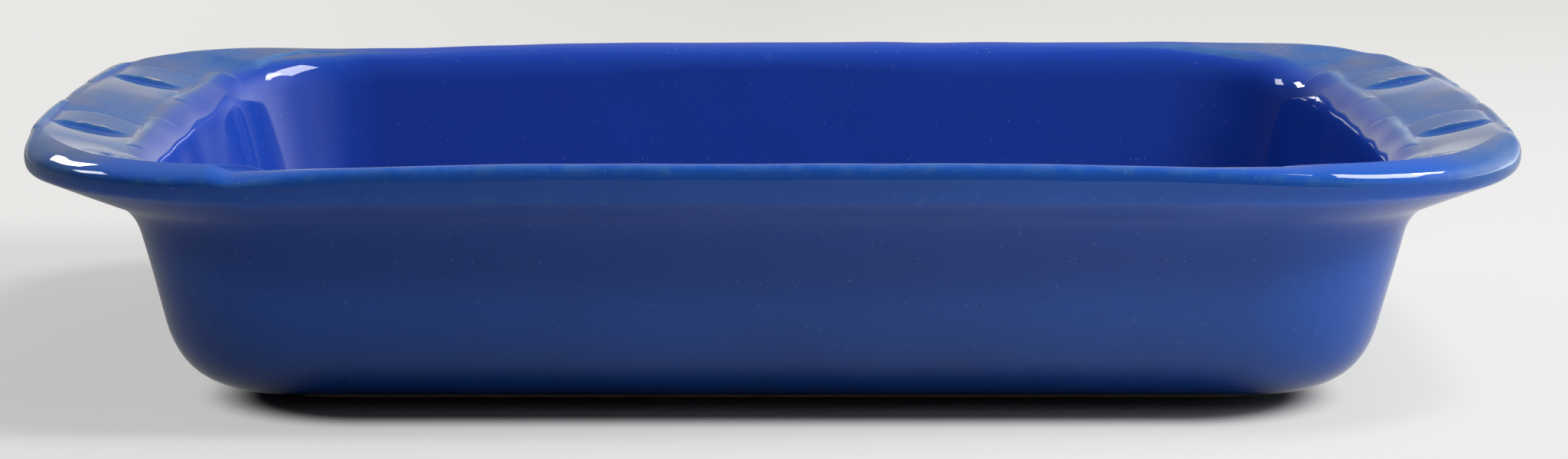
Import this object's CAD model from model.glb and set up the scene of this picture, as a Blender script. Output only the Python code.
import bpy
import math
import numpy as np
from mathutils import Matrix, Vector


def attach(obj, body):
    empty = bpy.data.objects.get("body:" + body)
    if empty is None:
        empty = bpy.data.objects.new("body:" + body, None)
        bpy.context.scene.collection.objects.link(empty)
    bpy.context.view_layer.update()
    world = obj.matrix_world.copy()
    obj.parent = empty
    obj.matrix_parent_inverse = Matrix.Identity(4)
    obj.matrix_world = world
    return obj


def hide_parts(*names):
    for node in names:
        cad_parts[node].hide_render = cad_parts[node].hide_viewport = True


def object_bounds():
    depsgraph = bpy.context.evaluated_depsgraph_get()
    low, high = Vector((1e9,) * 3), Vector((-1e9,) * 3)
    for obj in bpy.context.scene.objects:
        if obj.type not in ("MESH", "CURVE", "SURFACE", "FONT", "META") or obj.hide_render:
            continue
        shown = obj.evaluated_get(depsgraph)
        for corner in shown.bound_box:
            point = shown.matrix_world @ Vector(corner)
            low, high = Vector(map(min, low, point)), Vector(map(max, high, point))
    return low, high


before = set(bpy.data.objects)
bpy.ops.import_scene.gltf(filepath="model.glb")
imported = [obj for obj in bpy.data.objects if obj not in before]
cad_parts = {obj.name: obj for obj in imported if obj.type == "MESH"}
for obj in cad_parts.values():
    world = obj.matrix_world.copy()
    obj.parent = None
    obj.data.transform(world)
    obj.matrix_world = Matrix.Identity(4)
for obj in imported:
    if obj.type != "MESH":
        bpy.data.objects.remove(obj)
cadLow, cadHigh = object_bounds()
print("frame loaded")

bpy.context.scene.view_settings.view_transform = "Standard"

# The dish is worked out in millimetres, and the frame gives its length, width and height
mm = 0.001
halfLength = cadHigh[0] / mm
halfWidth = cadHigh[1] / mm
rimHeight = cadHigh[2] / mm

dishSizes = {
    "endBow": 945,  # radius of each bowed end
    "rimCorner": 62.5,
    "lipThickness": 8.4,
    "lipUnderReach": 2.6,  # how far the lip's rounding runs on underneath
    "lipTopReach": 4.2,  # and over its top
    "softReach": 4.3,  # what a softly rounded lip adds to that
    "tightReach": -1.5,  # and a tight one takes away
    "softKnee": 0.21,
    "lipBelly": 0.44,  # share of the lip's height where it stands out furthest
    "softBelly": 0.30,
    "rimSlope": 11.5,
    "openingReach": 8.5,
    "openingShare": 0.8,  # the most of the top that the rounded opening may take
    "edgeTries": 8,  # rounds that bring the opening's edge to rest on the sloping top
    "handleReach": 29,
    "sideOverhang": 10,
    "flareDrop": 10,
    "coveReach": 6.5,
    "coveShare": 0.5,  # the most of the flare that the cove may take
    "basinCorner": 44.8,
    "draft": 14,
    "heelRadius": 23.8,
    "endWall": 8.5,
    "sideWall": 5.5,
    "footHeight": 2,
    "floorThickness": 8,
    "cavityHeel": 20,
    "middleDisc": 0.02,  # share of the flat underside and floor left to one face in the middle
}
tiny = 1e-9  # the least length that anything is divided by


def smooth(value, start, end):
    share = np.clip((value - start) / (end - start), 0, 1)
    return share * share * (3 - 2 * share)


# How finely each stretch of the body is divided
dishDivisions = {
    "bow": 236, "corner": 130, "side": 90,
    "underside": 6, "heel": 12, "wall": 9, "cove": 8, "flare": 9, "lipUnder": 9, "lipTop": 10,
    "roof": 46, "opening": 16, "collarWall": 3, "innerWall": 8, "innerHeel": 12, "floor": 12,
}


# Columns run once round the dish: right end, back, left end, front
def columnPlaces(divisions):
    counts = [divisions["bow"], divisions["corner"], divisions["side"], divisions["corner"]] * 2
    stretch = np.concatenate([np.full(count, number) for number, count in enumerate(counts)])
    share = np.concatenate([np.arange(count) / count for count in counts])
    return stretch, share


stretch, stretchShare = columnPlaces(dishDivisions)


def cornerFrame(length, width, bow, corner):
    turn = np.arcsin((width - corner) / (bow - corner))
    return turn, length - bow + (bow - corner) * np.cos(turn), width - corner


# A rectangle with bowed ends and round corners, one point for each column
def outline(length, width, bow, corner):
    turn, cornerX, cornerY = cornerFrame(length, width, bow, corner)
    quarter = math.pi / 2
    starts = [-turn, turn, quarter, quarter, math.pi - turn, math.pi + turn, 3 * quarter, 3 * quarter]
    ends = [turn, quarter, quarter, math.pi - turn, math.pi + turn, 3 * quarter, 3 * quarter,
            4 * quarter - turn]
    centresX = [length - bow, cornerX, 0, -cornerX, bow - length, -cornerX, 0, cornerX]
    centresY = [0, cornerY, cornerY, cornerY, 0, -cornerY, -cornerY, -cornerY]
    radii = [bow, corner, corner, corner] * 2

    def pick(values):
        return np.choose(stretch, [np.broadcast_to(value, stretch.shape) for value in values])

    angle = pick(starts) + (pick(ends) - pick(starts)) * stretchShare
    x = pick(centresX) + pick(radii) * np.cos(angle)
    y = pick(centresY) + pick(radii) * np.sin(angle)
    x = np.where(stretch == 2, cornerX * (1 - 2 * stretchShare), x)
    x = np.where(stretch == 6, cornerX * (2 * stretchShare - 1), x)
    return x, y, angle


def ring(length, width, bow, corner, height):
    x, y, _ = outline(length, width, bow, corner)
    return np.stack([x, y, np.broadcast_to(height, x.shape)], axis=1)


def basinRing(sizes, height, endInset=0, sideInset=0):
    collar = rimHeight - sizes["lipThickness"] - sizes["flareDrop"]
    drop = (collar - height) * math.tan(math.radians(sizes["draft"]))
    return ring(halfLength - sizes["handleReach"] - endInset - drop,
                halfWidth - sizes["sideOverhang"] - sideInset - drop,
                sizes["endBow"] - sizes["handleReach"] - endInset - drop,
                sizes["basinCorner"] - sideInset - drop, height)


def curveRows(start, corner, end, count):
    # Rows along a rounded corner, its first point left out
    shares = np.arange(1, count + 1) / count
    return [(1 - share) ** 2 * start + 2 * share * (1 - share) * corner + share ** 2 * end
            for share in shares]


def straightRows(start, end, count):
    return [start + (end - start) * share for share in np.arange(1, count + 1) / count]


def distanceAlong(x, y, angle, sizes):
    # Along the rim from the middle of the nearer handle, positive towards the back
    turn, cornerX, _ = cornerFrame(halfLength, halfWidth, sizes["endBow"], sizes["rimCorner"])
    fromMiddle = np.arcsin(np.clip(np.sin(angle), -1, 1))
    bowReach = sizes["endBow"] * turn
    along = np.where(abs(fromMiddle) <= turn, sizes["endBow"] * fromMiddle,
                     np.sign(y) * (bowReach + sizes["rimCorner"] * (abs(fromMiddle) - turn)))
    onSide = (stretch == 2) | (stretch == 6)
    return along + np.where(onSide, np.sign(y) * (cornerX - abs(x)), 0)


def plateau(value, start, full, last, end):
    return smooth(value, start, full) * (1 - smooth(value, last, end))


# The rim isn't quite level: it dips beside its corners, where the handles step up or down to it.
# Places are millimetres along the rim from the middle of the nearer handle.
rimShape = {
    "frontRise": 0.25,  # over the height that the frame gives
    "backRise": 0.4,
    "backTilt": 0.0015,
    "dips": {  # place, width towards the handle, width towards the middle, depth
        "frontLeft": (-156, 50, 50, 1.7),
        "frontRight": (-186, 30, 30, 0.9),
        "backLeft": (163, 38, 52, 1.85),
        "backRight": (154, 18, 18, 0.45),
    },
    "crownOverEdge": 0.645,  # what the rounding takes off the unrounded edge
    "leftHandle": (-0.05, -0.0035),  # level beside the rim's, and tilt along the handle
    "rightHandle": (0.05, -0.003),
    "frontHandleEnd": (-161, -152),  # where the rim turns into a handle, at the front and back
    "leftHandleEnd": (103, 111),
    "rightHandleEnd": (104, 121),
    "softCorner": (-200, -140, -92, -50),  # the lip is rounded softly at the front corners
    "alongEnd": (-70, -50, 88, 100),  # tightly along the left end, a little softly along the right
    "rightEndSoftness": 0.35,
    "insideFrom": (-4, 5),  # how far over the lip the glaze of the inside starts, back and front
    "insideFade": 9,
    "underRim": (-46, -30, -12, -6),  # where it lies thick
    "tinted": (-165, -150, 140, 185),  # where along the rim the glaze is thinner and greyer
    "tintStart": (-116, -100),  # across the width
    "tintOverLip": (-6, -1),
    "tintAtOpening": (-2, 7),  # its end, beside the edge of the opening
}


def handleShare(x, along, shape):
    # 1 on a handle and 0 on the rolled rims
    left = plateau(along, *shape["frontHandleEnd"], *shape["leftHandleEnd"])
    right = plateau(along, *shape["frontHandleEnd"], *shape["rightHandleEnd"])
    return np.where(x < 0, left, right)


def dipAt(along, place, outwards, inwards, depth):
    away = (along - place) * np.sign(place)
    return depth * np.exp(-(away / np.where(away > 0, inwards, outwards)) ** 2)


def crestHeight(x, y, along, handle, shape):
    dips = shape["dips"]
    left = np.where(y > 0, dipAt(along, *dips["backLeft"]), dipAt(along, *dips["frontLeft"]))
    right = np.where(y > 0, dipAt(along, *dips["backRight"]), dipAt(along, *dips["frontRight"]))
    rise = np.where(y > 0, shape["backRise"] + shape["backTilt"] * x, shape["frontRise"])
    rim = rise - np.where(x < 0, left, right)
    side = np.where(x < 0, shape["leftHandle"][0] + shape["leftHandle"][1] * y,
                    shape["rightHandle"][0] + shape["rightHandle"][1] * y)
    return rimHeight + shape["crownOverEdge"] + rim * (1 - handle) + side * handle


def buildDish(sizes, shape, divisions):
    slope = math.tan(math.radians(sizes["rimSlope"]))
    lipBase = rimHeight - sizes["lipThickness"]
    collar = lipBase - sizes["flareDrop"]
    rimX, rimY, rimAngle = outline(halfLength, halfWidth, sizes["endBow"], sizes["rimCorner"])
    inward = np.stack([-np.cos(rimAngle), -np.sin(rimAngle), 0 * rimAngle], axis=1)
    along = distanceAlong(rimX, rimY, rimAngle, sizes)
    handle = handleShare(rimX, along, shape)
    atHandleEnd = plateau(along, *shape["alongEnd"])
    soft = plateau(along, *shape["softCorner"])
    soft = soft + shape["rightEndSoftness"] * atHandleEnd * (rimX > 0)
    topReach = sizes["lipTopReach"] + sizes["softReach"] * soft
    topReach = topReach + sizes["tightReach"] * atHandleEnd * (rimX < 0)

    def outer(height):
        return basinRing(sizes, height)

    def inner(height):
        return basinRing(sizes, height, sizes["endWall"], sizes["sideWall"])

    def rimRing(height, inset=0):
        at = np.stack([rimX, rimY, np.broadcast_to(height, rimX.shape)], axis=1)
        return at + inward * np.reshape(inset, (-1, 1))

    # Underside and heel
    foot = sizes["footHeight"]
    rise = math.cos(math.radians(sizes["draft"]))
    bend = math.tan(math.radians(90 - sizes["draft"]) / 2)
    heelReach = sizes["heelRadius"] * bend
    flat = basinRing(sizes, foot, heelReach, heelReach)
    middle = flat * [0, 0, 1]
    rows = [middle + (flat - middle) * sizes["middleDisc"]]
    rows += straightRows(rows[0], flat, divisions["underside"])
    heelTop = outer(foot + heelReach * rise)
    rows += curveRows(flat, outer(foot), heelTop, divisions["heel"])

    # Wall, cove and flare up to the lip
    coveStart = outer(collar - sizes["coveReach"])
    rows += straightRows(heelTop, coveStart, divisions["wall"])
    lipCorner = rimRing(lipBase)
    flareWay = lipCorner - outer(collar)
    flareLength = np.linalg.norm(flareWay, axis=1, keepdims=True)
    coveShare = np.minimum(sizes["coveReach"] / flareLength, sizes["coveShare"])
    coveEnd = outer(collar) + flareWay * coveShare
    rows += curveRows(coveStart, outer(collar), coveEnd, divisions["cove"])
    outerCut = len(rows) - 1 - divisions["cove"] // 2
    lipStart = lipCorner - flareWay * sizes["lipUnderReach"] / flareLength
    rows += straightRows(coveEnd, lipStart, divisions["flare"])

    # Lip, and the top that falls inwards
    crest = crestHeight(rimX, rimY, along, handle, shape)
    bellyShare = sizes["lipBelly"] + (sizes["softBelly"] - sizes["lipBelly"]) * soft
    belly = rimRing(lipBase + (crest - lipBase) * bellyShare)
    lipRow = len(rows) - 1
    rows += curveRows(lipStart, lipCorner, belly, divisions["lipUnder"])
    roofStart = rimRing(crest - topReach * slope, topReach)
    knee = crest - topReach * (slope + sizes["softKnee"]) * soft
    rows += curveRows(belly, rimRing(knee), roofStart, divisions["lipTop"])
    roofRow = len(rows) - 1
    edgeHeight = np.full(rimX.shape, collar)
    for _ in range(sizes["edgeTries"]):
        inset = ((inner(edgeHeight) - rimRing(0)) * inward).sum(axis=1)
        edgeHeight = crest - inset * slope
    edge = inner(edgeHeight)
    roofWay = edge - roofStart
    roofLength = np.linalg.norm(roofWay, axis=1)
    reach = np.minimum(sizes["openingReach"], sizes["openingShare"] * roofLength)
    roofEnd = edge - roofWay * (reach / roofLength)[:, None]
    rows += straightRows(roofStart, roofEnd, divisions["roof"])
    edgeRow = len(rows) - 1
    rows += curveRows(roofEnd, edge, inner(edgeHeight - reach), divisions["opening"])

    # Inside wall, heel and floor
    rows += straightRows(rows[-1], inner(np.full(rimX.shape, collar)), divisions["collarWall"])
    innerCut = len(rows) - 1
    floorTop = foot + sizes["floorThickness"]
    heelReach = sizes["cavityHeel"] * bend
    heelTop = inner(floorTop + heelReach * rise)
    rows += straightRows(rows[-1], heelTop, divisions["innerWall"])
    flat = basinRing(sizes, floorTop, sizes["endWall"] + heelReach, sizes["sideWall"] + heelReach)
    rows += curveRows(heelTop, inner(floorTop), flat, divisions["innerHeel"])
    middle = flat * [0, 0, 1]
    rows += straightRows(flat, middle + (flat - middle) * sizes["middleDisc"], divisions["floor"])

    points = np.array(rows)
    steps = np.linalg.norm(np.diff(points, axis=0), axis=2)
    run = np.concatenate([np.zeros((1, points.shape[1])), np.cumsum(steps, axis=0)])
    across = run - run[roofRow] + topReach
    tinted = plateau(along, *shape["tinted"]) * smooth(rimY, *shape["tintStart"])
    tintEnds, tintEnded = across[edgeRow] + np.reshape(shape["tintAtOpening"], (2, 1))
    insideFrom = np.where(rimY > 0, *shape["insideFrom"])
    tinted = tinted * plateau(across, *shape["tintOverLip"], tintEnds, tintEnded)
    glazeShares = {
        "onHandle": tinted,
        "inside": smooth(across, insideFrom, insideFrom + shape["insideFade"]),
        "underRim": plateau(across, *shape["underRim"]),
    }
    return points, across, along, glazeShares, (outerCut, lipRow, edgeRow, innerCut)


def surfaceNormals(points):
    rowStep = np.gradient(points, axis=0)
    columnStep = np.roll(points, -1, axis=1) - np.roll(points, 1, axis=1)
    normals = np.cross(columnStep, rowStep)
    normals /= np.maximum(np.linalg.norm(normals, axis=2, keepdims=True), tiny)
    normals[0] = (0, 0, -1)
    normals[-1] = (0, 0, 1)
    return normals


def fromNearest(place, first, pitch):
    return abs((place - first + pitch / 2) % pitch - pitch / 2)


# The basket weave pressed into the handles
weaveSizes = {
    "height": 1.55,
    "level": 0.55,  # share of the height that is pressed in below the handle's own top
    "middleRow": (4, 25),  # from one inset to another
    "roundness": 2.2,  # of the uprights across, and of the weavers along
    "crownRoundness": 4,
    "uprightPlaces": (66, 95.5),  # first place and pitch across the width
    "uprightWidth": 22,
    "uprightEdge": 2.0,
    "weaverCrown": 0.45,
    "blockPlaces": (60, 90.5),
    "blockWidth": 55,
    "blockLevel": 0.88,
    "blockEdge": 1.5,
    "outerBlockEdge": 3.5,
    "outerSideEdge": 2.5,
    "innerSideEdge": 3.6,
    "bar": (0.3, 3.2, 1.0),  # the pale step up from the middle row to the inner blocks
    "outerGapLevels": (0.35, 0.85, 0.5),  # behind a block, before the next, and where it gets there
    "innerGapLevels": (0.25, 0.85, 1.0),
    "gapSideEdge": 9,
    "lipFade": (-4, 5),  # where the weave comes up over the lip
    "innerFade": (25, 35),  # and ends towards the opening
    "endFade": (94, 104),  # and across the width
    "furthest": 160,  # along the rim
}


def weaveHeight(points, sizes):
    # Straight uprights cross rows that follow the end bow, over and under by turns
    x, y = abs(points[:, :, 0]), points[:, :, 1]
    bow = dishSizes["endBow"]
    inset = bow - np.hypot(x - (halfLength - bow), y)
    near, far = sizes["middleRow"]
    half = (far - near) / 2
    side = (inset - near - half) / half

    # Middle row: narrow uprights on top, long low weavers between them
    first, pitch = sizes["uprightPlaces"]
    away = fromNearest(y, first, pitch) - sizes["uprightWidth"] / 2
    upright = 1 - np.minimum(abs(side), 1) ** sizes["roundness"]
    upright = upright * smooth(-away, 0, sizes["uprightEdge"])
    reach = np.clip(away / (pitch / 2 - sizes["uprightWidth"] / 2), 0, 1)
    weaver = 1 - (1 - reach) ** sizes["roundness"]
    crown = sizes["weaverCrown"] * side ** sizes["crownRoundness"]
    middle = np.where(away < 0, upright, weaver * (1 - crown))
    border = np.where(away < 0, 0, weaver * (1 - sizes["weaverCrown"]))

    # Rows on both sides of it: broad blocks on top, lower gaps that rise to the next block
    first, pitch = sizes["blockPlaces"]
    width = sizes["blockWidth"]
    away = fromNearest(y, first, pitch) - width / 2
    along = (y - first - width / 2) % pitch / (pitch - width)
    beyond = (abs(side) - 1) * half
    outside = side < 0
    edge = np.where(outside, sizes["outerSideEdge"], sizes["innerSideEdge"])
    block = border + (sizes["blockLevel"] - border) * smooth(beyond, 0, edge)
    barStart, barEnd, barEdge = sizes["bar"]
    bar = plateau(beyond, barStart - barEdge, barStart, barEnd, barEnd + barEdge)
    bar = bar * smooth(-away, 0, 2 * barEdge) * ~outside

    def gapLevel(levels):
        behind, before, share = levels
        return behind + (before - behind) * smooth(along, 0, share)

    gap = np.where(outside, gapLevel(sizes["outerGapLevels"]), gapLevel(sizes["innerGapLevels"]))
    gap = border + (gap - border) * smooth(beyond, 0, sizes["gapSideEdge"])
    end = np.where(outside, sizes["outerBlockEdge"], sizes["blockEdge"])
    beside = gap + (block - gap) * smooth(-away / end, 0, 1)
    return np.where(abs(side) < 1, middle, beside) * sizes["height"], bar


# The back rim stands a little higher than the end of each handle, and steps down to the opening.
# The step runs from one place along the rim and inset to another.
rimStep = {
    "left": (108, 24.5, 146, 8.5),  # first place and inset, last place and inset
    "right": (128, 22, 170, 10),
    "ends": (-0.3, 0.15, 0.85, 1.6),  # how it fades in and out, as shares of its length
    "height": 0.55,
    "edge": 2.4,
    "paleEdge": 0.8,
    "lipFade": (0, 6),
}


def rimStepHeight(points, across, along, sizes):
    onLeft = points[:, :, 0] < 0
    first, firstInset, last, lastInset = [np.where(onLeft, left, right)
                                          for left, right in zip(sizes["left"], sizes["right"])]
    share = (along[None, :] - first) / (last - first)
    start = firstInset + (lastInset - firstInset) * np.clip(share, 0, 1)
    end, fringe = start + sizes["edge"], sizes["paleEdge"]
    window = plateau(share, *sizes["ends"])
    raised = window * plateau(across, *sizes["lipFade"], start, end)
    pale = window * plateau(across, start - fringe, start, end, end + fringe)
    return raised * sizes["height"], pale


def pressWeave(points, across, along, sizes):
    height, bar = weaveHeight(points, sizes)
    height = height - sizes["level"] * sizes["height"]
    fade = plateau(across, *sizes["lipFade"], *sizes["innerFade"])
    fade = fade * (1 - smooth(abs(points[:, :, 1]), *sizes["endFade"]))
    fade = fade * (abs(along) < sizes["furthest"])[None, :]
    step, stepBar = rimStepHeight(points, across, along, rimStep)
    height = height * fade + step
    return points + surfaceNormals(points) * height[:, :, None], np.maximum(bar * fade, stepBar)


# What the hand and the kiln leave: a slow unevenness of the surface
unevenness = {
    "seed": 7,
    "waves": 26,
    "shortest": 20,
    "longest": 60,
    "depth": 0.08,
    "trueEnd": 0.4,  # the last of the length keeps its place
    "startsAt": (3, 8),  # height over the table
}


def addUnevenness(points, settings):
    # A sum of slow waves in all directions, on the upper and inner surfaces
    draw = np.random.default_rng(settings["seed"])
    total = np.zeros(points.shape[:2])
    for _ in range(settings["waves"]):
        way = draw.normal(size=3)
        way /= np.linalg.norm(way)
        length = draw.uniform(settings["shortest"], settings["longest"])
        total += np.sin(points @ way * 2 * math.pi / length + draw.uniform(0, 2 * math.pi))
    total *= settings["depth"] / math.sqrt(settings["waves"] / 2)
    fade = 1 - smooth(abs(points[:, :, 0]), halfLength - settings["trueEnd"], halfLength)
    fade = fade * smooth(points[:, :, 2], *settings["startsAt"])
    return points + surfaceNormals(points) * (total * fade)[:, :, None]


sharpness = {
    "leastGap": 0.2,
    "flatRows": 3,  # rows round the middle of the underside and floor that count as flat
}


def edgeSharpness(points, settings):
    # How much each point stands proud of its neighbours, per millimetre of spacing
    normals = surfaceNormals(points)
    above = np.concatenate([points[:1], points[:-1]])
    below = np.concatenate([points[1:], points[-1:]])
    pairs = [(np.roll(points, 1, axis=1), np.roll(points, -1, axis=1)), (above, below)]
    total = 0
    for first, second in pairs:
        gap = np.maximum(np.linalg.norm(first - second, axis=2) / 2, settings["leastGap"])
        proud = ((points - (first + second) / 2) * normals).sum(axis=2)
        total = total + proud / gap ** 2
    total[:settings["flatRows"]] = 0
    total[-settings["flatRows"]:] = 0
    return total


dish = buildDish(dishSizes, rimShape, dishDivisions)
points, across, along, glazeShares, (outerCut, lipRow, edgeRow, innerCut) = dish
points, glazeShares["onBar"] = pressWeave(points, across, along, weaveSizes)
points = addUnevenness(points, unevenness)
glazeShares["proud"] = edgeSharpness(points, sharpness)
normals = surfaceNormals(points)
print("dish surface worked out:", points.shape[0], "rows of", points.shape[1])


def newMaterial(name):
    material = bpy.data.materials.new(name)
    material.use_nodes = True
    nodes = material.node_tree.nodes
    return material, nodes, material.node_tree.links, nodes["Principled BSDF"]


def nodeTools(tree):
    # Short ways to add the nodes that every material here needs
    nodes, links = tree.nodes, tree.links

    def feed(socket, value):
        if isinstance(value, (int, float, tuple)):
            socket.default_value = value
        else:
            links.new(value, socket)

    def combine(operation, first, second=0.0):
        node = nodes.new("ShaderNodeMath")
        node.operation = operation
        feed(node.inputs[0], first)
        feed(node.inputs[1], second)
        return node.outputs["Value"]

    def spread(value, low, high, start=0.0, end=1.0, kind="LINEAR"):
        node = nodes.new("ShaderNodeMapRange")
        node.interpolation_type = kind
        for name, given in (("Value", value), ("From Min", low), ("From Max", high),
                            ("To Min", start), ("To Max", end)):
            feed(node.inputs[name], given)
        return node.outputs["Result"]

    def ease(value, low, high, start=0.0, end=1.0):
        return spread(value, low, high, start, end, "SMOOTHSTEP")

    def blend(factor, first, second):
        node = nodes.new("ShaderNodeMix")
        node.data_type = "RGBA"
        for name, value in (("Factor", factor), ("A", first), ("B", second)):
            feed(node.inputs[name], value)
        return node.outputs["Result"]

    return combine, spread, ease, blend


# Cobalt glaze: each range has the start and end of what is measured, then the shares they give
glazeLook = {
    "colour": (0.011, 0.084, 0.42, 1),
    "inside": (0.010, 0.050, 0.345, 1),
    "onHandle": (0.020, 0.090, 0.29, 1),
    "thin": (0.055, 0.15, 0.34, 1),
    "broken": (0.40, 0.36, 0.36, 1),
    "pooled": (0.006, 0.050, 0.29, 1),
    "speck": (0.30, 0.27, 0.27, 1),
    "dust": (0.20, 0.28, 0.55, 1),
    "worn": (0.12, 0.12, 0.17, 1),
    "roughness": 0.045,
    "ior": 1.5,
    "cloudNoise": (22, 2),  # scale and detail of slow clouds in the colour
    "cloudRange": (0.35, 0.65),
    "cloudShade": 0.9,
    "edgeNoise": (260, 3),  # what makes the pale edges ragged
    "edgeRange": (0.3, 0.7, -0.12, 0.12),
    "barShare": 0.75,
    "thinRange": (0.12, 0.42, 0, 0.7),  # by the sharpness of an edge
    "pooledRange": (-0.06, -0.28, 0, 0.9),
    "brokenRange": (0.24, 0.5, 0, 0.85),
    "brokenOnHandle": (0.1, 0.5),
    "brokenInside": (0.03, 0.2),
    "levelRange": (0.90, 0.97),  # by how level the surface lies
    "wornNoise": (42, 3),
    "wornRange": (0.42, 0.62, 0, 0.55),
    "patchNoise": (60, 2),
    "patchRange": (0.46, 0.64, 0.15, 1),
    "grainNoise": (2200, 2),
    "grainRange": (0.50, 0.72, 0, 0.42),
    "dustScale": 700,
    "dustSize": (0.08, 0.17, 0.6, 0),
    "dustShare": (0.76, 0.80),
}


def makeGlaze(look):
    material, nodes, links, shader = newMaterial("cobaltGlaze")
    shader.inputs["Roughness"].default_value = look["roughness"]
    shader.inputs["IOR"].default_value = look["ior"]
    combine, spread, _, blend = nodeTools(material.node_tree)
    place = nodes.new("ShaderNodeTexCoord")

    def noise(scale, detail):
        node = nodes.new("ShaderNodeTexNoise")
        node.inputs["Scale"].default_value = scale
        node.inputs["Detail"].default_value = detail
        links.new(place.outputs["Object"], node.inputs["Vector"])
        return node.outputs["Fac"]

    def share(label):
        # What the surface holds at each point, as worked out with the shape
        node = nodes.new("ShaderNodeAttribute")
        node.attribute_name = label
        return node.outputs["Fac"]

    # Thick inside and under the rim, thin and greyer on the handles
    handle = share("onHandle")
    shade = tuple(channel * look["cloudShade"] for channel in look["colour"][:3]) + (1,)
    colour = blend(spread(noise(*look["cloudNoise"]), *look["cloudRange"]), look["colour"], shade)
    colour = blend(share("inside"), colour, look["inside"])
    colour = blend(handle, colour, look["onHandle"])
    colour = blend(share("underRim"), colour, look["pooled"])
    colour = blend(combine("MULTIPLY", share("onBar"), look["barShare"]), colour, look["thin"])

    # It runs off the sharp edges, which break pale on the handles, and pools in the creases
    edges = combine("ADD", share("proud"), spread(noise(*look["edgeNoise"]), *look["edgeRange"]))
    colour = blend(spread(edges, *look["thinRange"]), colour, look["thin"])
    colour = blend(spread(edges, *look["pooledRange"]), colour, look["pooled"])
    pale = spread(edges, *look["brokenRange"])
    pale = combine("MULTIPLY", pale, spread(handle, *look["brokenOnHandle"]))
    pale = combine("MULTIPLY", pale, spread(share("inside"), *look["brokenInside"]))
    colour = blend(pale, colour, look["broken"])

    # Wear and fine grains on the level parts of the handles, dust all over
    surface = nodes.new("ShaderNodeNewGeometry")
    facing = nodes.new("ShaderNodeSeparateXYZ")
    links.new(surface.outputs["Normal"], facing.inputs["Vector"])
    level = combine("MULTIPLY", handle, spread(facing.outputs["Z"], *look["levelRange"]))
    wear = combine("MULTIPLY", spread(noise(*look["wornNoise"]), *look["wornRange"]), level)
    colour = blend(wear, colour, look["worn"])
    patches = spread(noise(*look["patchNoise"]), *look["patchRange"])
    grains = spread(noise(*look["grainNoise"]), *look["grainRange"])
    specks = combine("MULTIPLY", combine("MULTIPLY", patches, grains), level)
    colour = blend(specks, colour, look["speck"])
    cells = nodes.new("ShaderNodeTexVoronoi")
    cells.inputs["Scale"].default_value = look["dustScale"]
    links.new(place.outputs["Object"], cells.inputs["Vector"])
    dust = combine("MULTIPLY", spread(cells.outputs["Distance"], *look["dustSize"]),
                   spread(cells.outputs["Color"], *look["dustShare"]))
    colour = blend(dust, colour, look["dust"])
    links.new(colour, shader.inputs["Base Color"])
    return material


glaze = makeGlaze(glazeLook)


stonewareLook = {
    "dark": (0.30, 0.22, 0.14, 1),
    "pale": (0.60, 0.50, 0.37, 1),
    "roughness": 0.85,
    "grainScale": 900,
    "grainDepth": 0.0003,
    "grainStrength": 0.6,
}


def makeStoneware(look):
    material, nodes, links, shader = newMaterial("bareStoneware")
    shader.inputs["Roughness"].default_value = look["roughness"]
    place = nodes.new("ShaderNodeTexCoord")
    grain = nodes.new("ShaderNodeTexNoise")
    grain.inputs["Scale"].default_value = look["grainScale"]
    links.new(place.outputs["Object"], grain.inputs["Vector"])
    ramp = nodes.new("ShaderNodeValToRGB")
    ramp.color_ramp.elements[0].color = look["dark"]
    ramp.color_ramp.elements[1].color = look["pale"]
    links.new(grain.outputs["Fac"], ramp.inputs["Fac"])
    links.new(ramp.outputs["Color"], shader.inputs["Base Color"])
    bump = nodes.new("ShaderNodeBump")
    bump.inputs["Distance"].default_value = look["grainDepth"]
    bump.inputs["Strength"].default_value = look["grainStrength"]
    links.new(grain.outputs["Fac"], bump.inputs["Height"])
    links.new(bump.outputs["Normal"], shader.inputs["Normal"])
    return material


# Pieces of the dish, each a closed stretch of the one surface
pieceCuts = {
    "handleTurn": 6,  # columns of the corner that stay with the rim
}


def columnRange(first, last):
    count = points.shape[1]
    return [column % count for column in range(first, last + 1)]


def gridFaces(rowCount, columnCount, joined=False):
    # Four-sided faces between rows, and back to the first column where a piece goes all round
    last = columnCount if joined else columnCount - 1
    return [(row * columnCount + column, row * columnCount + (column + 1) % columnCount,
             (row + 1) * columnCount + (column + 1) % columnCount, (row + 1) * columnCount + column)
            for row in range(rowCount - 1) for column in range(last)]


def finishPiece(name, grid, faces, nodeNames, hearts=()):
    mesh = bpy.data.meshes.new(name)
    vertices = np.concatenate([points[grid].reshape(-1, 3), np.reshape(hearts, (-1, 3))])
    mesh.from_pydata((vertices * mm).tolist(), [], faces)
    mesh.shade_smooth()
    pieceNormals = normals[grid].reshape(-1, 3).tolist() + [(0, 0, 1)] * len(hearts)
    mesh.normals_split_custom_set_from_vertices(pieceNormals)
    for label, values in glazeShares.items():
        attribute = mesh.attributes.new(label, "FLOAT", "POINT")
        held = np.concatenate([values[grid].reshape(-1), np.zeros(len(hearts))])
        attribute.data.foreach_set("value", held.astype(np.float32))
    mesh.materials.append(glaze)
    piece = bpy.data.objects.new(name, mesh)
    bpy.context.scene.collection.objects.link(piece)
    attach(piece, "root")
    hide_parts(*nodeNames)
    print("made", name, len(faces), "faces")


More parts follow.
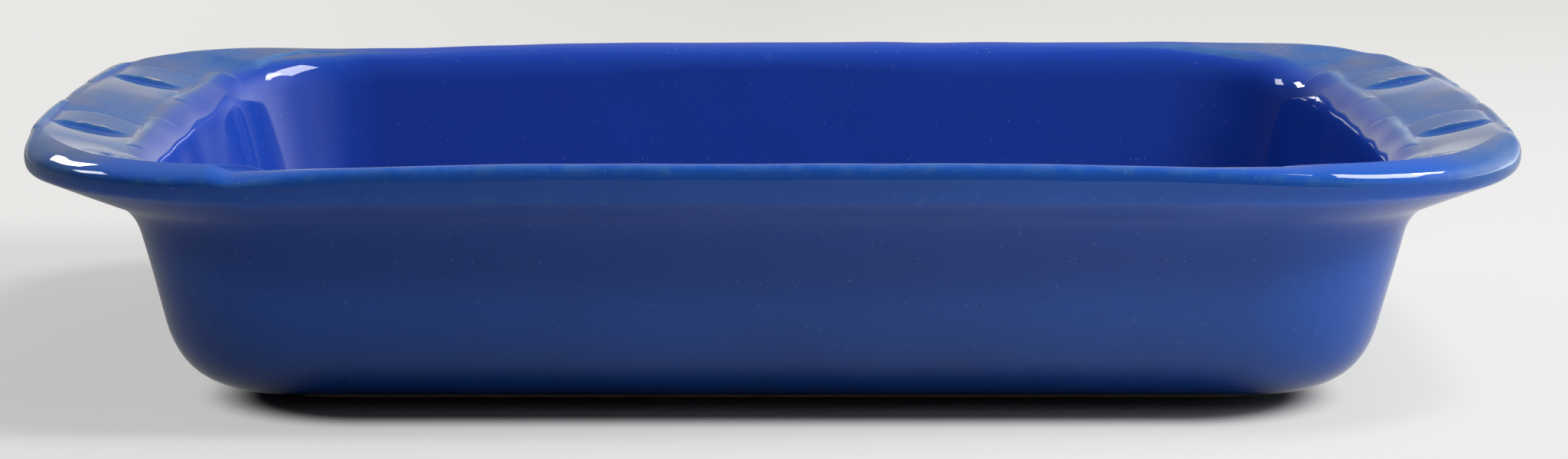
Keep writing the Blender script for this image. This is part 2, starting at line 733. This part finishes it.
def bandPiece(name, firstColumn, lastColumn, nodeNames):
    # A stretch of the rim above the collar, closed where it meets its neighbours
    columns = columnRange(firstColumn, lastColumn)
    rows = list(range(outerCut, innerCut + 1))
    count, rowCount = len(columns), len(rows)
    faces = gridFaces(rowCount, count)
    top = (rowCount - 1) * count
    faces += [(top + column, top + column + 1, column + 1, column) for column in range(count - 1)]
    # Each end is closed by a fan about a point in the heart of the clay
    hearts = [(points[lipRow, column] + points[edgeRow, column]) / 2
              for column in (columns[0], columns[-1])]
    for heart, column, turn in ((0, 0, 1), (1, count - 1, -1)):
        loop = [row * count + column for row in range(rowCount)][::turn]
        faces += [(first, second, rowCount * count + heart)
                  for first, second in zip(loop, loop[1:] + loop[:1])]
    finishPiece(name, np.ix_(rows, columns), faces, nodeNames, hearts)


def basinPiece():
    # Outside up to the cove, then inside from the collar down, joined by a level ring
    rows = list(range(outerCut + 1)) + list(range(innerCut, points.shape[0]))
    columns = list(range(points.shape[1]))
    faces = gridFaces(len(rows), len(columns), joined=True)
    faces.append(tuple(reversed(columns)))
    faces.append(tuple((len(rows) - 1) * len(columns) + column for column in columns))
    finishPiece("dish_basin", np.ix_(rows, columns), faces, ["basin"])


def buildPieces(cuts, divisions):
    bow, corner, side = divisions["bow"], divisions["corner"], divisions["side"]
    half = bow + 2 * corner + side
    backStart = bow + corner - cuts["handleTurn"]
    backEnd = bow + corner + side + cuts["handleTurn"]
    frontStart, frontEnd = backStart + half, backEnd + half
    basinPiece()
    bandPiece("dish_back_rim", backStart, backEnd, ["back_rim"])
    bandPiece("dish_left_handle", backEnd, frontStart,
              ["left_handle", "left_weave_uprights", "left_weave_weavers"])
    bandPiece("dish_front_rim", frontStart, frontEnd, ["front_rim"])
    bandPiece("dish_right_handle", frontEnd, backStart + 2 * half,
              ["right_handle", "right_weave_uprights", "right_weave_weavers"])


buildPieces(pieceCuts, dishDivisions)

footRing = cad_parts["foot_ring"]
footRing.data.materials.clear()
footRing.data.materials.append(makeStoneware(stonewareLook))
print("dish dressed")

# Table: it takes the dish's shadow, and glows a little so that it stays pale
tableLook = {
    "reach": 12,
    "roughness": 0.9,
    "sides": (-0.2, 0.2),  # from the left of the dish to its right, for the three pairs below
    "paperSides": (0.36, 0.74),  # how pale the paper is
    "glowSides": (0.60, 0.86),  # share of the glow
    "mirroredSides": (0.30, 0.80),  # and how much of it the glaze mirrors
    "paper": (1.0, 1.0, 0.99, 1),
    "paperAtContact": 0.3,  # what is left of it in the dark line under the dish
    "contact": (0.105, 0.074, 0.030, 0.018),  # half length, half width, corner, soft edge
    "mirroredNearer": 0.005,  # how much nearer the glaze mirrors the glow than the eye sees it
    "glowNear": (0.80, 0.80, 0.79, 1),
    "glowFar": (0.69, 0.685, 0.66, 1),
    "glowFades": (0.1, 1.3),  # towards the back
    "glowFarLeft": (0.81, 0.805, 0.79, 1),
    "farLeft": (0.0, -0.33),
    "farFrom": (0.25, 1.2),  # distance from the dish at which the glow is full
    "behindFrom": (0.06, 0.22),  # and how soon it is behind the dish
    "onLeft": (0.15, -0.05),
    "frontFrom": (-0.07, -0.15, 0.0, 0.79),  # and in front of it, where it is never full
}


def makeTable(look):
    reach = look["reach"]
    corners = [(-reach, -reach, 0), (reach, -reach, 0), (reach, reach, 0), (-reach, reach, 0)]
    mesh = bpy.data.meshes.new("table")
    mesh.from_pydata(corners, [], [(0, 1, 2, 3)])
    material, nodes, links, shader = newMaterial("tablePaper")
    shader.inputs["Roughness"].default_value = look["roughness"]
    combine, _, ease, blend = nodeTools(material.node_tree)
    place = nodes.new("ShaderNodeTexCoord")
    parts = nodes.new("ShaderNodeSeparateXYZ")
    links.new(place.outputs["Object"], parts.inputs["Vector"])
    x, y = parts.outputs["X"], parts.outputs["Y"]

    def times(first, second):
        return combine("MULTIPLY", first, second)

    def beyond(value, reach):
        return combine("MAXIMUM", combine("SUBTRACT", combine("ABSOLUTE", value), reach), 0.0)

    def distance(first, second):
        return combine("SQRT", combine("ADD", times(first, first), times(second, second)))

    # Paper, darker on the left and in the line of contact
    halfX, halfY, corner, edge = look["contact"]
    apart = distance(beyond(x, halfX), beyond(y, halfY))
    pale = times(ease(x, *look["sides"], *look["paperSides"]),
                 ease(apart, corner, corner + edge, look["paperAtContact"], 1.0))
    links.new(blend(pale, (0, 0, 0, 1), look["paper"]), shader.inputs["Base Color"])

    # Glow, fuller far away, behind the dish on the left and in front of it
    behind = times(ease(y, *look["behindFrom"]), ease(x, *look["onLeft"]))
    full = combine("MAXIMUM", ease(distance(x, y), *look["farFrom"]), behind)
    full = combine("MAXIMUM", full, ease(y, *look["frontFrom"]))
    full = combine("MAXIMUM", full, ease(x, *look["sides"], *look["glowSides"]))
    glowing = times(full, ease(apart, corner, corner + edge))
    tint = blend(ease(y, *look["glowFades"]), look["glowNear"], look["glowFar"])
    tint = blend(ease(x, *look["farLeft"]), tint, look["glowFarLeft"])
    glow = nodes.new("ShaderNodeEmission")
    links.new(tint, glow.inputs["Color"])

    # The eye sees the glow as it is, the glaze mirrors it dimmed, and nothing else is lit by it
    ray = nodes.new("ShaderNodeLightPath")
    mirrored = ray.outputs["Is Glossy Ray"]
    dimmed = combine("SUBTRACT", 1.0, ease(x, *look["sides"], *look["mirroredSides"]))
    links.new(combine("SUBTRACT", 1.0, times(mirrored, dimmed)), glow.inputs["Strength"])
    seen = combine("MAXIMUM", ray.outputs["Is Camera Ray"], ray.outputs["Is Transmission Ray"])
    nearer = corner - look["mirroredNearer"]
    shown = times(ease(apart, nearer, nearer + edge), mirrored)
    mix = nodes.new("ShaderNodeMixShader")
    links.new(combine("MAXIMUM", times(glowing, seen), shown), mix.inputs["Fac"])
    links.new(shader.outputs["BSDF"], mix.inputs[1])
    links.new(glow.outputs["Emission"], mix.inputs[2])
    links.new(mix.outputs["Shader"], nodes["Material Output"].inputs["Surface"])
    mesh.materials.append(material)
    table = bpy.data.objects.new("table", mesh)
    bpy.context.scene.collection.objects.link(table)


makeTable(tableLook)
print("table laid")

# Studio round the dish: bright low behind, darker above, dark towards the viewer
studioLook = {
    "heights": [(0.0, 0.72), (0.08, 0.60), (0.18, 0.35), (0.40, 0.31), (0.75, 0.30), (1.0, 0.26)],
    "frontLevel": 0.10,
    "turnsDark": (-0.35, 0.25),  # towards the back, from the dark half to the bright one
    "leftSide": (-0.35, -0.85, 0.3),  # where it turns darker on the left, and the share left there
    "rightSide": (0.35, 0.85, 5.6),  # and where it turns brighter on the right
}


def makeStudio(look):
    world = bpy.data.worlds.new("studio")
    bpy.context.scene.world = world
    world.use_nodes = True
    nodes, links = world.node_tree.nodes, world.node_tree.links
    combine, _, ease, blend = nodeTools(world.node_tree)
    way = nodes.new("ShaderNodeTexCoord")
    parts = nodes.new("ShaderNodeSeparateXYZ")
    links.new(way.outputs["Generated"], parts.inputs["Vector"])
    ramp = nodes.new("ShaderNodeValToRGB")
    stops = ramp.color_ramp.elements
    while len(stops) < len(look["heights"]):
        stops.new(1.0)
    for stop, (height, level) in zip(stops, look["heights"]):
        stop.position = height
        stop.color = (level, level, level, 1)
    links.new(parts.outputs["Z"], ramp.inputs["Fac"])
    front = (look["frontLevel"],) * 3 + (1,)
    level = blend(ease(parts.outputs["Y"], *look["turnsDark"]), front, ramp.outputs["Color"])
    left, right = [ease(parts.outputs["X"], start, end, 1.0, share)
                   for start, end, share in (look["leftSide"], look["rightSide"])]
    background = nodes["Background"]
    links.new(level, background.inputs["Color"])
    links.new(combine("MULTIPLY", left, right), background.inputs["Strength"])


makeStudio(studioLook)

# Lamps: where each stands as seen from the dish, its size in metres, its brightness.
# The glaze mirrors the first four, which are softboxes. The other two are screened off from it.
lamps = {
    "keyLight": {"bearing": 78, "elevation": 61, "distance": 1.6, "size": 0.62, "level": 9,
                 "mirrored": True},
    "lowLight": {"bearing": 67, "elevation": 50, "distance": 1.6, "size": 0.24, "level": 10,
                 "mirrored": True},
    "sideLight": {"bearing": -39, "elevation": 33, "distance": 1.65, "size": 0.25, "level": 14,
                  "mirrored": True},
    "leftLight": {"bearing": -70, "elevation": 41, "distance": 1.6, "size": 0.32, "level": 8,
                  "mirrored": True},
    "fillLight": {"bearing": 116, "elevation": 31, "distance": 0.75, "size": 0.30, "level": 2.2,
                  "mirrored": False},
    "overheadLight": {"bearing": 96, "elevation": 70, "distance": 1.6, "size": 0.36, "level": 28,
                      "mirrored": False},
}


def addLamp(name, look):
    bearing, elevation = math.radians(look["bearing"]), math.radians(look["elevation"])
    way = Vector((math.sin(bearing) * math.cos(elevation), math.cos(bearing) * math.cos(elevation),
                  math.sin(elevation)))
    light = bpy.data.lights.new(name, "AREA")
    light.shape = "SQUARE"
    light.size = look["size"]
    light.energy = 4 * look["size"] ** 2 * look["level"]
    holder = bpy.data.objects.new(name, light)
    holder.location = way * look["distance"]
    holder.rotation_euler = way.to_track_quat("Z", "Y").to_euler()
    holder.visible_glossy = look["mirrored"]
    bpy.context.scene.collection.objects.link(holder)


for name, look in lamps.items():
    addLamp(name, look)
print("studio lit")

cameraPlace = {
    "distance": 1.1334,
    "height": 0.226,
    "side": 0.0030,
    "tilt": 9.77,  # degrees down from level
    "focalPixels": 5330,  # focal length, as pixels of an image this wide
    "imageWidth": 2049,
    "sensorWidth": 36,
}


def addCamera(place):
    camera = bpy.data.cameras.new("camera")
    camera.sensor_width = place["sensorWidth"]
    camera.lens = place["focalPixels"] / place["imageWidth"] * place["sensorWidth"]
    holder = bpy.data.objects.new("camera", camera)
    holder.location = (place["side"], -place["distance"], place["height"])
    holder.rotation_euler = (math.radians(90 - place["tilt"]), 0, 0)
    bpy.context.scene.collection.objects.link(holder)
    bpy.context.scene.camera = holder


addCamera(cameraPlace)
print("camera placed")
